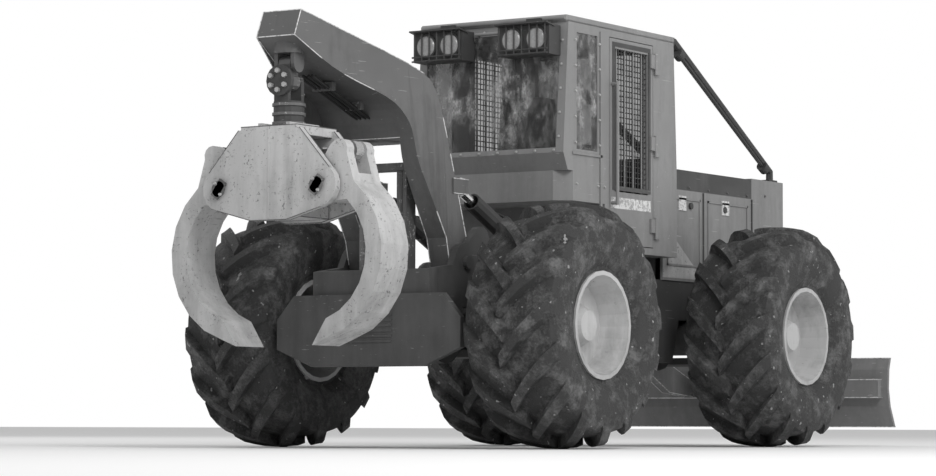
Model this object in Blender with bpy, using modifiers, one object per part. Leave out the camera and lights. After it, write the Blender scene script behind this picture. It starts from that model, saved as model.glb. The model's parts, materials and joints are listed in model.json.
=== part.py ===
"""Grapple skidder: an articulated forestry machine, +X forward, +Y left, +Z up, metres.

The origin lies on the ground under the articulation joint. The front body carries the cab, hood and
blade, the rear body carries the winch, boom and grapple.
"""
import math

import bmesh
import bpy
from mathutils import Matrix, Vector

# ---- driving dimensions ----
GAP = 0.0003            # between pieces that touch
AXLE_X = 1.46           # each axle from the articulation joint
HALF_TRACK = 1.14       # middle of a tyre from the middle plane
TYRE_R = 0.81
TYRE_HALF_W = 0.355
BEAD_R = 0.345
BEAD_HALF_W = 0.285
FLANGE_H = 0.013
FLANGE_T = 0.015
REACH = 3.43            # blade's edge ahead of the joint
BOOM_END = 3.06         # boom's rear end behind the joint, along its top
BOOM_END_LEAN = 0.07    # how much further back the end's lower edge is

FRAME_TOP = 1.23
FRAME_BOTTOM = 0.62
FRAME_HALF_W = 0.48
FRAME_PLATE = 0.05
NECK_X = 0.40           # where each frame's full width begins
AXLE_TUBE_R = 0.13
AXLE_BANJO_R = 0.24
AXLE_FLANGE_R = 0.16
HUB_FACE = 0.05         # rim's inner hub face, outboard of the tyre's middle

HITCH_R = 0.08
HITCH_PLATE = 0.05
HITCH_TOP = 1.02
HITCH_BOTTOM = 0.66
HITCH_CLEAR = 0.006

CAB_REAR = -0.617       # belt line of the rear wall
CAB_ROOF_REAR = -0.549
CAB_FRONT = 0.943
CAB_HALF_W = 0.617
CAB_TOP = 2.970
CAB_WALL = 0.05
CAB_BELT = 2.05
CAB_TAIL_BOTTOM = 1.72
CAB_BOTTOM = 1.39
CAB_CORNER = (0.07, 0.12)           # chamfer of the rear corners below the belt, in X and Y
ROOF_T = 0.047
PANE_T = 0.010
DOOR_REAR = 0.015
DOOR_FRONT = 0.633
DOOR_TOP = 2.915
DOOR_BOTTOM = 1.445
DOOR_CLEAR = 0.006
DOOR_RIM = 0.07

HOOD_REAR = 1.00
HOOD_HALF_W = 0.49
HOOD_TOP = 2.064
HOOD_SKIRT = 0.15
SHEET = 0.02
COWL_REAR = 2.40
COWL_FRONT = 2.93
COWL_TOP = 2.074

EAR_Y = 0.42            # inner face of the boom ears (rear frame's side plates)
BOOM_Y = 0.41           # outer face of the boom's feet
PIVOT_X, PIVOT_Z = -1.62, 1.24
PIN_R = 0.045
PIN_SIDES = 12

EYE_R = 0.065
EYE_W = 0.08
EYE_PIN_R = 0.032
LUG_CLEAR = 0.006
LUG_T = 0.02
RUN = 0.0007            # running gap of a rod in its barrel

HANG_X, HANG_Z = -2.98, 2.46        # fore-and-aft swing pin under the boom's head
CROSS_Z = 2.35                      # side swing pin below it
SWING_PIN_R = 0.028
HEAD_TOP = 2.05
TONG_Y, TONG_Z = 0.385, 1.66        # tong pins, from the head's middle
TONG_TOP_Y, TONG_TOP_Z = 0.50, 1.885
TONG_PIN_R = 0.04
TONG_HALF_X = 0.15
TONG_SLOT = 0.07
HEAD_HALF_X = 0.215
HEAD_PLATE = 0.05

BLADE_HALF_W = 1.22
BLADE_PIVOT_X, BLADE_PIVOT_Z = 2.45, 0.70
BLADE_TOP_Z, BLADE_EDGE_Z = 0.69, 0.15
BLADE_ARM_T = 0.07

STEER_Z = 0.84
STEER_BASE = (-0.95, 0.325)
STEER_EYE = (0.26, 0.325)
BLADE_CYL_BASE = (3.03, 0.26, 1.45)
BLADE_CYL_EYE = (3.12, 0.26, 0.56)
BOOM_CYL_BASE = (-0.46, 0.33, 1.27)
BOOM_CYL_EYE = (-1.53, 0.33, 1.755)
WINCH_X, WINCH_Z = -1.06, 1.12
WINCH_HALF_W = 0.245
HINGE_X = DOOR_FRONT + 0.018
HINGE_Y = CAB_HALF_W + 0.018
HINGE_LOWS = (1.55, 2.15, 2.75)
BACK_X = -2.06          # rear edge of the rear frame's side plates

SIDES = (("right", -1), ("left", 1))
ENDS = (("front", 1), ("rear", -1))
HITCH_PIN_R = 0.045
BELT_IN = CAB_REAR + 0.06
SHELF_X = -0.05         # where the cab's floor steps down from its tail
WIDE = CAB_HALF_W + 0.1
REAR_OPENING = ((CAB_REAR - 0.1, -0.555, 2.084), (CAB_REAR + 0.2, 0.555, 2.905))
FRONT_OPENING = ((CAB_FRONT - 0.2, -0.53, 2.13), (CAB_FRONT + 0.2, 0.53, 2.905))
SIDE_OPENING = ((-0.437, -WIDE, 2.084), (-0.153, WIDE, 2.905))
DOOR_OPENING = ((DOOR_REAR - DOOR_CLEAR, -WIDE, DOOR_BOTTOM - DOOR_CLEAR),
                (DOOR_FRONT + DOOR_CLEAR, WIDE, DOOR_TOP + DOOR_CLEAR))
FRONT_LEAN = 0.045
DECK_TOP = 1.14
PORTAL_HALF_W = 0.255
PORTAL_TOP = 2.05
SWING_HALF = 0.045
SWING_EYE_R = 0.056
BLADE_EYE_ROOM = 0.035  # from the blade cylinder's rod eye to the cross beam, as the eye drifts when the blade drops


# ---- scene ----
for old in list(bpy.data.objects):
    bpy.data.objects.remove(old)
parts = bpy.data.collections.new("skidder")
cutters = bpy.data.collections.new("cutters")
for group in (parts, cutters):
    bpy.context.scene.collection.children.link(group)


def material(name, grey, roughness, metallic=0.0):
    mat = bpy.data.materials.new(name)
    mat.use_nodes = True
    shader = mat.node_tree.nodes["Principled BSDF"]
    shader.inputs["Base Color"].default_value = (grey, grey, grey, 1.0)
    shader.inputs["Roughness"].default_value = roughness
    shader.inputs["Metallic"].default_value = metallic
    return mat


BODY = material("body_paint", 0.40, 0.5)
DARK = material("dark_paint", 0.12, 0.6)
BOOM = material("boom_paint", 0.30, 0.55)
TONG = material("tong_paint", 0.62, 0.5)
RUBBER = material("tyre_rubber", 0.06, 0.9)
RIM = material("rim_paint", 0.62, 0.5)
CHROME = material("rod_chrome", 0.60, 0.2, 1.0)
GLASS = material("window_pane", 0.30, 0.1)
SEAT = material("seat_vinyl", 0.05, 0.7)


# ---- shape helpers ----
def add(mesh, name, mat=None, group=parts):
    obj = bpy.data.objects.new(name, mesh)
    group.objects.link(obj)
    if mat:
        mesh.materials.append(mat)
    if group is cutters:
        obj.hide_render = True
        obj.display_type = "WIRE"
    return obj


def from_bmesh(shape, name, mat=None, group=parts):
    bmesh.ops.recalc_face_normals(shape, faces=shape.faces)
    mesh = bpy.data.meshes.new(name)
    shape.to_mesh(mesh)
    shape.free()
    return add(mesh, name, mat, group)


def box(name, low, high, mat=None, group=parts):
    shape = bmesh.new()
    size = Vector(high) - Vector(low)
    middle = (Vector(high) + Vector(low)) / 2
    bmesh.ops.create_cube(shape, matrix=Matrix.Translation(middle) @ Matrix.Diagonal((*size, 1.0)))
    return from_bmesh(shape, name, mat, group)


def plate(name, outline, axis, low, high, mat=None, group=parts):
    """A flat outline pushed from low to high along axis; outline is (x, z) for Y and (y, z) for X."""
    turn = {"y": lambda a, b, c: (a, c, b), "x": lambda a, b, c: (c, a, b), "z": lambda a, b, c: (a, b, c)}[axis]
    shape = bmesh.new()
    rows = [[shape.verts.new(turn(a, b, level)) for a, b in outline] for level in (low, high)]
    shape.faces.new(rows[0])
    shape.faces.new(rows[1])
    for i in range(len(outline)):
        j = (i + 1) % len(outline)
        shape.faces.new((rows[0][i], rows[0][j], rows[1][j], rows[1][i]))
    return from_bmesh(shape, name, mat, group)


def arc(cx, cz, radius, start, end, steps):
    """Points on an arc in degrees, both ends included."""
    angles = [math.radians(start + (end - start) * i / steps) for i in range(steps + 1)]
    return [(cx + radius * math.cos(a), cz + radius * math.sin(a)) for a in angles]


AXIS_TURN = {"x": Matrix.Rotation(math.radians(90), 4, "Y"), "y": Matrix.Rotation(math.radians(-90), 4, "X"),
             "z": Matrix.Identity(4)}


def rod(name, centre, axis, radius, low, high, mat=None, group=parts, segments=16):
    """A cylinder along an axis, from low to high on that axis."""
    shape = bmesh.new()
    centre = Vector(centre)
    centre["xyz".index(axis)] = (low + high) / 2
    bmesh.ops.create_cone(shape, cap_ends=True, segments=segments, radius1=radius, radius2=radius,
                          depth=high - low, matrix=Matrix.Translation(centre) @ AXIS_TURN[axis])
    return from_bmesh(shape, name, mat, group)


def turned(name, profile, centre, side, mat, steps=24):
    """A profile of (outward distance, radius), turned about a line along Y through centre."""
    mesh = bpy.data.meshes.new(name)
    points = [(r, 0.0, s) for s, r in profile]
    count = len(points)
    closed = profile[0][1] > 0
    edges = [(i, i + 1) for i in range(count - 1)] + ([(count - 1, 0)] if closed else [])
    mesh.from_pydata(points, edges, [])
    obj = add(mesh, name, mat)
    screw = obj.modifiers.new("turn", "SCREW")
    screw.axis = "Z"
    screw.steps = screw.render_steps = steps
    screw.use_merge_vertices = True
    screw.merge_threshold = 0.00005
    obj.matrix_world = Matrix.Translation(Vector(centre)) @ Matrix.Rotation(math.radians(-90 * side), 4, "X")
    return bake(obj)


def tube(name, points, radius, mat=None, resolution=2, cyclic=False):
    curve = bpy.data.curves.new(name, "CURVE")
    curve.dimensions = "3D"
    curve.bevel_depth = radius
    curve.bevel_resolution = resolution
    curve.use_fill_caps = True
    line = curve.splines.new("POLY")
    line.points.add(len(points) - 1)
    for point, place in zip(line.points, points):
        point.co = (*place, 1.0)
    line.use_cyclic_u = cyclic
    return bake(add(curve, name, mat))


def bake(obj):
    """Replaces an object by the plain closed mesh that its modifiers or curve give."""
    bpy.context.view_layer.update()
    depsgraph = bpy.context.evaluated_depsgraph_get()
    mesh = bpy.data.meshes.new_from_object(obj.evaluated_get(depsgraph))
    mesh.transform(obj.matrix_world)
    shape = bmesh.new()
    shape.from_mesh(mesh)
    bmesh.ops.remove_doubles(shape, verts=shape.verts, dist=0.00002)
    bmesh.ops.recalc_face_normals(shape, faces=shape.faces)
    shape.to_mesh(mesh)
    shape.free()
    name = obj.name
    bpy.data.objects.remove(obj)
    return add(mesh, name)


def combine(target, operation, others):
    """Cuts the others from the target, or joins them to it."""
    for i, other in enumerate(others):
        if other.name in parts.objects:
            parts.objects.unlink(other)
            cutters.objects.link(other)
            other.hide_render = True
            other.display_type = "WIRE"
        step = target.modifiers.new(f"{operation.lower()}_{i}", "BOOLEAN")
        step.operation = operation
        step.solver = "EXACT"
        step.object = other
    return target


def cut(target, *others):
    return combine(target, "DIFFERENCE", others)


def join(target, *others):
    return combine(target, "UNION", others)


def cut_box(low, high):
    return box("cut", low, high, None, cutters)


def mirrored(low_y, high_y, side):
    """The Y range of a piece on one side, in rising order."""
    return sorted((low_y * side, high_y * side))


def side_box(name, x, y, z, side, mat=None, group=parts):
    low_y, high_y = mirrored(*y, side)
    return box(name, (x[0], low_y, z[0]), (x[1], high_y, z[1]), mat, group)


def hole(pin_r, segments=PIN_SIDES):
    """Radius of a faceted hole that a faceted pin turns in."""
    return pin_r / math.cos(math.pi / segments) + 0.0004


def lugs(target, place, side, reach, height):
    """Two cheeks beside a cylinder's eye at place, spanning reach in X and height in Z."""
    _, y, _ = place
    near, far = EYE_W / 2 + LUG_CLEAR, EYE_W / 2 + LUG_CLEAR + LUG_T
    for low, high in ((y - far, y - near), (y + near, y + far)):
        join(target, side_box("lug", reach, (low, high), height, side))


def cross_pin(target, place, side):
    """The pin along Y between a pair of lugs."""
    x, y, z = place
    span = EYE_W / 2 + LUG_CLEAR + LUG_T / 2
    low, high = mirrored(y - span, y + span, side)
    join(target, rod("pin", (x, 0, z), "y", EYE_PIN_R, low, high, segments=PIN_SIDES))


# ---- cylinders ----
def cylinder(name, base, eye, bore, rod_r, closed, pin_axis):
    """A hydraulic cylinder: a barrel on its base pin and a rod whose eye meets the other pin.

    closed is the pin-to-pin length with the rod fully in, which sets the barrel and rod lengths.
    """
    base, eye = Vector(base), Vector(eye)
    length = (eye - base).length
    along = (eye - base).normalized()
    pin = Vector([1.0 if letter == pin_axis else 0.0 for letter in "xyz"])
    frame = Matrix.Translation(base) @ Matrix((pin, along.cross(pin), along)).transposed().to_4x4()
    wall = 0.012
    mouth = closed - EYE_R - 0.02
    inside = closed - EYE_R - 0.045
    root = EYE_R * 0.55
    neck = EYE_R + 0.015

    def piece(tag, centre, axis, radius, low, high, group=parts):
        return rod(name + tag, centre, axis, radius, low, high, None, group, PIN_SIDES)

    barrel = piece("_barrel", (0, 0, 0), "z", bore + wall, neck, mouth)
    join(barrel, piece("_neck", (0, 0, 0), "z", EYE_W * 0.45, root, neck + 0.01),
         piece("_base_eye", (0, 0, 0), "x", EYE_R, -EYE_W / 2, EYE_W / 2))
    cut(barrel, piece("_bore", (0, 0, 0), "z", bore, neck + 0.015, mouth + 0.02, cutters),
        piece("_base_hole", (0, 0, 0), "x", hole(EYE_PIN_R), -EYE_W, EYE_W, cutters))
    rod_end = length - inside
    shaft = piece("_rod", (0, 0, 0), "z", rod_r, rod_end + 0.01, length - root)
    join(shaft, piece("_piston", (0, 0, 0), "z", bore - RUN, rod_end, rod_end + 0.04),
         piece("_rod_eye", (0, 0, length), "x", EYE_R, -EYE_W / 2, EYE_W / 2))
    cut(shaft, piece("_rod_hole", (0, 0, length), "x", hole(EYE_PIN_R), -EYE_W, EYE_W, cutters))
    for whole, mat in ((barrel, BODY), (shaft, CHROME)):
        whole.data.materials.append(mat)
        for solid in (whole, *(step.object for step in whole.modifiers)):
            solid.data.transform(frame)


def cylinders():
    for side_name, side in SIDES:
        def at(place):
            return place[0], side * place[1], place[2]
        steer_base, steer_eye = (*STEER_BASE, STEER_Z), (*STEER_EYE, STEER_Z)
        cylinder(f"steering_cylinder_{side_name}", at(steer_base), at(steer_eye), 0.038, 0.025, 0.88, "z")
        cylinder(f"boom_cylinder_{side_name}", at(BOOM_CYL_BASE), at(BOOM_CYL_EYE), 0.05, 0.032, 1.05, "y")
        cylinder(f"blade_cylinder_{side_name}", at(BLADE_CYL_BASE), at(BLADE_CYL_EYE), 0.04, 0.026, 0.66, "y")
    cylinder("tong_cylinder", (HANG_X, TONG_TOP_Y, TONG_TOP_Z), (HANG_X, -TONG_TOP_Y, TONG_TOP_Z),
             0.048, 0.032, 0.69, "x")


# ---- wheels ----
def wheels():
    seat = BEAD_R - GAP
    lip = BEAD_HALF_W + GAP
    flange_r = BEAD_R + FLANGE_H
    outer = BEAD_HALF_W + FLANGE_T
    half = [(BEAD_HALF_W, BEAD_R), (BEAD_HALF_W, flange_r + GAP), (0.335, 0.45), (TYRE_HALF_W, 0.60),
            (0.335, 0.735), (0.27, 0.795), (0.10, TYRE_R)]
    tyre = half + [(-s, r) for s, r in reversed(half)]
    rim = [(0.19, 0.0), (0.19, 0.10), (0.10, 0.15), (0.10, 0.29), (outer, 0.33), (outer, flange_r),
           (lip, flange_r), (lip, seat), (-lip, seat), (-lip, flange_r), (-outer, flange_r), (-outer, 0.33),
           (HUB_FACE, 0.29), (HUB_FACE, 0.0)]
    for end, ahead in ENDS:
        for side_name, side in SIDES:
            centre = (ahead * AXLE_X, side * HALF_TRACK, TYRE_R)
            turned(f"tyre_{end}_{side_name}", tyre, centre, side, RUBBER)
            turned(f"rim_{end}_{side_name}", rim, centre, side, RIM)


def axle(name, ahead):
    centre = (ahead * AXLE_X, 0, TYRE_R)
    tip = HALF_TRACK + HUB_FACE - GAP
    inner = HALF_TRACK - 0.06
    body = rod(name, centre, "y", AXLE_TUBE_R, -inner - 0.01, inner + 0.01, DARK)
    join(body, rod("banjo", centre, "y", AXLE_BANJO_R, -0.20, 0.20))
    for _, side in SIDES:
        join(body, rod("hub", centre, "y", AXLE_FLANGE_R, *mirrored(inner, tip, side)))
    join(body, rod("nose", centre, "x", 0.11, *sorted((ahead * AXLE_X, ahead * (AXLE_X - 0.40)))))


def axle_room(frame, ahead):
    """Room in a frame for its axle's banjo and nose."""
    centre = (ahead * AXLE_X, 0, TYRE_R)
    cut(frame, rod("banjo_room", centre, "y", AXLE_BANJO_R + 0.02, -0.22, 0.22, None, cutters),
        rod("nose_room", centre, "x", 0.13, *sorted((ahead * AXLE_X, ahead * (AXLE_X - 0.43))), None, cutters))


# ---- front body ----
def front_frame():
    arch = TYRE_R + AXLE_TUBE_R + GAP
    side = [(NECK_X, FRAME_BOTTOM), (AXLE_X - 0.3, FRAME_BOTTOM), (AXLE_X - 0.2, arch), (AXLE_X + 0.2, arch),
            (AXLE_X + 0.3, FRAME_BOTTOM), (2.58, FRAME_BOTTOM), (COWL_FRONT, 0.86), (COWL_FRONT, FRAME_TOP),
            (NECK_X, FRAME_TOP)]
    frame = plate("front_frame", side, "y", -FRAME_HALF_W, FRAME_HALF_W, DARK)
    inside = FRAME_HALF_W - FRAME_PLATE
    cut(frame, cut_box((HOOD_REAR + 0.05, -inside, FRAME_BOTTOM + FRAME_PLATE),
                       (COWL_FRONT - 0.08, inside, FRAME_TOP + 0.1)))
    axle_room(frame, 1)
    # hitch plates above and below the rear frame's tongue
    for low in (HITCH_TOP + HITCH_CLEAR, HITCH_BOTTOM - HITCH_CLEAR - HITCH_PLATE):
        outline = [(NECK_X + 0.05, -0.30), (NECK_X + 0.05, 0.30), *arc(0, 0, HITCH_R + 0.03, 75, 285, 8)]
        join(frame, plate("hitch", outline, "z", low, low + HITCH_PLATE))
    join(frame, rod("hitch_pin", (0, 0, 0), "z", HITCH_PIN_R, HITCH_BOTTOM - 0.04, HITCH_TOP + 0.04, segments=PIN_SIDES))
    join(frame, box("pedestal", (0.12, -0.43, HITCH_TOP + 0.03), (HOOD_REAR, 0.43, CAB_BOTTOM - GAP)))
    for _, side_sign in SIDES:
        join(frame, side_box("step", (0.18, 0.50), (0.30, 0.66), (1.06, 1.10), side_sign))
        join(frame, side_box("step_hanger", (0.42, 0.50), (0.40, 0.66), (0.74, 1.08), side_sign))
        join(frame, side_box("step", (0.24, 0.50), (0.52, 0.66), (0.70, 0.745), side_sign))
        eye_x, eye_y = STEER_EYE
        near, far = EYE_W / 2 + LUG_CLEAR, EYE_W / 2 + LUG_CLEAR + LUG_T
        for low, high in ((STEER_Z - far, STEER_Z - near), (STEER_Z + near, STEER_Z + far)):
            join(frame, side_box("lug", (eye_x - 0.06, NECK_X + 0.02), (eye_y - 0.06, eye_y + 0.06),
                                 (low, high), side_sign))
        low, high = mirrored(inside + 0.02, FRAME_HALF_W + 0.012 + BLADE_ARM_T + 0.01, side_sign)
        join(frame, rod("arm_pin", (BLADE_PIVOT_X, 0, BLADE_PIVOT_Z), "y", PIN_R, low, high, segments=PIN_SIDES))
        base_x, base_y, base_z = BLADE_CYL_BASE
        join(frame, side_box("blade_post", (COWL_FRONT - 0.04, COWL_FRONT + 0.015),
                             (base_y - 0.07, base_y + 0.07), (1.0, FRAME_TOP), side_sign))
        join(frame, side_box("blade_post", (COWL_FRONT + GAP, COWL_FRONT + 0.015),
                             (base_y - 0.07, base_y + 0.07), (1.0, base_z + 0.08), side_sign))
        lugs(frame, BLADE_CYL_BASE, side_sign, (COWL_FRONT + 0.01, base_x + 0.05), (base_z - 0.06, base_z + 0.06))
        cross_pin(frame, BLADE_CYL_BASE, side_sign)


def cab():
    front_low = CAB_FRONT + FRONT_LEAN
    side = [(CAB_REAR, CAB_BELT), (BELT_IN, CAB_BELT - 0.12), (BELT_IN, CAB_TAIL_BOTTOM),
            (SHELF_X, CAB_TAIL_BOTTOM), (SHELF_X, CAB_BOTTOM), (front_low, CAB_BOTTOM),
            (front_low, CAB_BELT), (CAB_FRONT, CAB_TOP), (CAB_ROOF_REAR, CAB_TOP)]
    shell = plate("cab_shell", side, "y", -CAB_HALF_W, CAB_HALF_W, BODY)
    w = CAB_WALL
    room = [(CAB_REAR + w, CAB_BELT), (BELT_IN + w, CAB_BELT - 0.12 - w / 3),
            (BELT_IN + w, CAB_TAIL_BOTTOM + w), (SHELF_X + w, CAB_TAIL_BOTTOM + w),
            (SHELF_X + w, CAB_BOTTOM + w), (front_low - w, CAB_BOTTOM + w),
            (front_low - w, CAB_BELT), (CAB_FRONT - w, CAB_TOP + 0.02), (CAB_ROOF_REAR + w, CAB_TOP + 0.02)]
    half = CAB_HALF_W - w
    cut(shell, plate("cab_room", room, "y", -half, half, None, cutters))
    deep, wide = CAB_CORNER
    for _, sign in SIDES:
        corner = [(BELT_IN - deep, sign * (CAB_HALF_W - 2 * wide)), (BELT_IN - deep, sign * (CAB_HALF_W + wide)),
                  (BELT_IN + 2 * deep, sign * (CAB_HALF_W + wide))]
        cut(shell, plate("corner", corner, "z", CAB_TAIL_BOTTOM - 0.1, CAB_BELT - 0.12, None, cutters))
    for opening in (REAR_OPENING, FRONT_OPENING, SIDE_OPENING, DOOR_OPENING):
        cut(shell, cut_box(*opening))
    for _, sign in SIDES:
        for low in HINGE_LOWS:
            low, high = low - 0.045, low - 0.010 - GAP
            join(shell, rod("hinge_seat", (HINGE_X, sign * HINGE_Y, 0), "z", 0.012, low, high, segments=12),
                 side_box("hinge_bracket", (HINGE_X - 0.004, HINGE_X + 0.05), (CAB_HALF_W - 0.02, HINGE_Y + 0.008),
                          (low + 0.004, high - 0.004), sign))


def leaning_pane(name, opening, outer, lean):
    """A pane that fills an opening in a wall leaning by lean over the height of the windows."""
    (_, low_y, low_z), (_, high_y, high_z) = opening
    low_y, high_y, low_z, high_z = low_y + GAP, high_y - GAP, low_z + GAP, high_z - GAP
    slope = lean / (CAB_TOP - CAB_BELT)
    at = [outer + slope * (z - CAB_BELT) for z in (low_z, high_z)]
    inward = PANE_T if outer < 0 else -PANE_T
    outline = [(at[0], low_z), (at[1], high_z), (at[1] + inward, high_z), (at[0] + inward, low_z)]
    plate(name, outline, "y", low_y, high_y, GLASS)


def cab_fittings():
    inset = 0.008
    leaning_pane("rear_window", REAR_OPENING, CAB_REAR + inset, CAB_ROOF_REAR - CAB_REAR)
    leaning_pane("windshield", FRONT_OPENING, CAB_FRONT + FRONT_LEAN - inset, -FRONT_LEAN)
    roof_low = CAB_TOP + GAP
    overhang = 0.02
    roof = box("cab_roof", (CAB_ROOF_REAR - overhang, -CAB_HALF_W, roof_low),
               (CAB_FRONT + overhang, CAB_HALF_W, roof_low + ROOF_T), BODY)
    bevel = roof.modifiers.new("edge", "BEVEL")
    bevel.width = 0.012
    bevel.segments = 1
    roof_back = CAB_ROOF_REAR - overhang - GAP
    for name, sign in SIDES:
        (low_x, _, low_z), (high_x, _, high_z) = SIDE_OPENING
        side_box(f"quarter_window_{name}", (low_x + GAP, high_x - GAP),
                 (CAB_HALF_W - inset - PANE_T, CAB_HALF_W - inset), (low_z + GAP, high_z - GAP), sign, GLASS)
        door(name, sign)
        lamp = side_box(f"work_light_{name}", (roof_back - 0.15, roof_back), (0.155, 0.565), (2.73, 2.94), sign, DARK)
        join(lamp, side_box("lamp_bracket", (roof_back - 0.03, roof_back), (0.30, 0.42), (2.90, 3.00), sign))
    floor = CAB_BOTTOM + CAB_WALL + GAP
    seat = box("operator_seat", (-0.10, -0.25, 1.80), (0.36, 0.25, 1.94), SEAT)
    join(seat, plate("backrest", [(-0.16, 1.86), (0.0, 1.86), (-0.06, 2.52), (-0.20, 2.52)], "y", -0.23, 0.23),
         box("seat_post", (0.04, -0.15, floor), (0.30, 0.15, 1.82)))
    console = box("control_console", (0.76, -0.30, floor), (0.86, 0.30, 2.02), DARK)
    wheel_x, wheel_z, wheel_r, tilt = 0.60, 2.08, 0.17, math.radians(57)
    ring = [(wheel_x + wheel_r * math.sin(a) * math.cos(tilt), wheel_r * math.cos(a),
             wheel_z + wheel_r * math.sin(a) * math.sin(tilt)) for a in (math.radians(22.5 * i) for i in range(16))]
    join(console, tube("wheel_column", [(0.79, 0, 1.95), (wheel_x, 0, wheel_z)], 0.02),
         tube("steering_wheel", ring, 0.012, cyclic=True),
         tube("wheel_spoke", [ring[4], ring[12]], 0.010), tube("wheel_spoke", [ring[0], ring[8]], 0.010))


def door(name, sign):
    leaf = side_box(f"cab_door_{name}", (DOOR_REAR, DOOR_FRONT), (CAB_HALF_W - CAB_WALL, CAB_HALF_W),
                    (DOOR_BOTTOM, DOOR_TOP), sign, BODY)
    sill = 1.82
    low_y, high_y = mirrored(CAB_HALF_W - 0.2, CAB_HALF_W + 0.1, sign)
    cut(leaf, cut_box((DOOR_REAR + DOOR_RIM, low_y, sill), (DOOR_FRONT - DOOR_RIM, high_y, DOOR_TOP - DOOR_RIM)))
    middle = CAB_HALF_W - CAB_WALL / 2
    bars, half = 4, 0.006
    for i in range(bars):
        x = DOOR_REAR + DOOR_RIM + (DOOR_FRONT - DOOR_REAR - 2 * DOOR_RIM) * (i + 0.5) / bars
        join(leaf, side_box("door_bar", (x - half, x + half), (middle - half, middle + half),
                            (sill - 0.02, DOOR_TOP - DOOR_RIM + 0.02), sign))
    for low in HINGE_LOWS:
        join(leaf, side_box("hinge_leaf", (DOOR_FRONT - 0.05, DOOR_FRONT - 0.004), (CAB_HALF_W - 0.01, HINGE_Y),
                            (low, low + 0.10), sign),
             side_box("hinge_arm", (DOOR_FRONT - 0.02, HINGE_X), (CAB_HALF_W + 0.006, HINGE_Y),
                      (low, low + 0.10), sign),
             rod("hinge_knuckle", (HINGE_X, sign * HINGE_Y, 0), "z", 0.012, low - 0.01, low + 0.11, segments=12))


def hood():
    skirt = HOOD_TOP - HOOD_SKIRT
    top = box("hood_top", (HOOD_REAR, -HOOD_HALF_W, skirt), (COWL_REAR - GAP, HOOD_HALF_W, HOOD_TOP), DARK)
    cut(top, cut_box((HOOD_REAR - 0.1, -HOOD_HALF_W + SHEET, skirt - 0.1),
                     (COWL_REAR + 0.1, HOOD_HALF_W - SHEET, HOOD_TOP - SHEET)))
    for name, sign in SIDES:
        side_box(f"side_shield_{name}", (HOOD_REAR, COWL_REAR - GAP), (HOOD_HALF_W - SHEET, HOOD_HALF_W),
                 (FRAME_TOP + GAP, skirt - GAP), sign, BODY)
    wall = 0.03
    cowl = box("radiator_cowl", (COWL_REAR, -HOOD_HALF_W, FRAME_TOP + GAP), (COWL_FRONT, HOOD_HALF_W, COWL_TOP), BODY)
    cut(cowl, cut_box((COWL_REAR - 0.1, -HOOD_HALF_W + wall, FRAME_TOP + 0.05),
                      (COWL_FRONT + 0.1, HOOD_HALF_W - wall, COWL_TOP - wall)))
    inner = HOOD_HALF_W - wall - GAP
    low, high = FRAME_TOP + 0.05 + GAP, COWL_TOP - wall - GAP
    grille = box("front_grille", (COWL_FRONT - 0.05, -inner, low), (COWL_FRONT - 0.02, inner, high), DARK)
    slots, rim = 6, 0.05
    pitch = (high - low - rim) / slots
    for i in range(slots):
        slot = low + rim + pitch * i
        cut(grille, cut_box((COWL_FRONT - 0.2, -inner + rim, slot), (COWL_FRONT + 0.1, inner - rim, slot + pitch - rim)))
    engine = box("engine_block", (1.12, -0.30, 1.10), (2.22, 0.30, 1.85), DARK)
    foot = FRAME_HALF_W - FRAME_PLATE - GAP
    join(engine, *(box("engine_foot", (x, -foot, 1.12), (x + 0.08, foot, 1.17)) for x in (1.20, 2.06)))
    stack_x, stack_y = 1.40, -0.28
    stack = rod("exhaust_stack", (stack_x, stack_y, 0), "z", 0.045, HOOD_TOP + GAP, 2.32, DARK)
    join(stack, rod("cap", (stack_x, stack_y, 0), "z", 0.07, 2.28, 2.35))
    for name, sign in SIDES:
        tube(f"limb_riser_{name}",
             [(CAB_FRONT + 0.02 + GAP, sign * 0.56, 2.995), (1.04, sign * 0.56, 2.995),
              (2.77, sign * 0.455, 2.15), (2.77, sign * 0.455, COWL_TOP + GAP)], 0.03, BODY)


# ---- dozer blade ----
def blade():
    front = [(REACH, BLADE_EDGE_Z), (3.345, 0.31), (3.315, 0.45), (3.325, 0.60), (3.355, BLADE_TOP_Z)]
    back = [(x - 0.03, z) for x, z in reversed(front)]
    board = plate("dozer_blade", front + back, "y", -BLADE_HALF_W, BLADE_HALF_W, BODY)
    beam_rear = BLADE_CYL_EYE[0] + EYE_R + BLADE_EYE_ROOM
    join(board, box("blade_beam", (beam_rear, -BLADE_HALF_W + 0.05, 0.38), (3.31, BLADE_HALF_W - 0.05, 0.52)))
    r = 0.085
    for _, sign in SIDES:
        arm = [*arc(BLADE_PIVOT_X, BLADE_PIVOT_Z, r, 240, 60, 7), (3.24, 0.51), (3.24, 0.39), (2.85, 0.42)]
        low, high = mirrored(FRAME_HALF_W + 0.012, FRAME_HALF_W + 0.012 + BLADE_ARM_T, sign)
        join(board, plate("push_arm", arm, "y", low, high))
        cut(board, rod("arm_hole", (BLADE_PIVOT_X, 0, BLADE_PIVOT_Z), "y", hole(PIN_R), low - 0.05, high + 0.05, None,
                       cutters, PIN_SIDES))
        eye_x, _, eye_z = BLADE_CYL_EYE
        lugs(board, BLADE_CYL_EYE, sign, (eye_x - 0.05, beam_rear + 0.04), (0.40, eye_z + 0.05))


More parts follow.
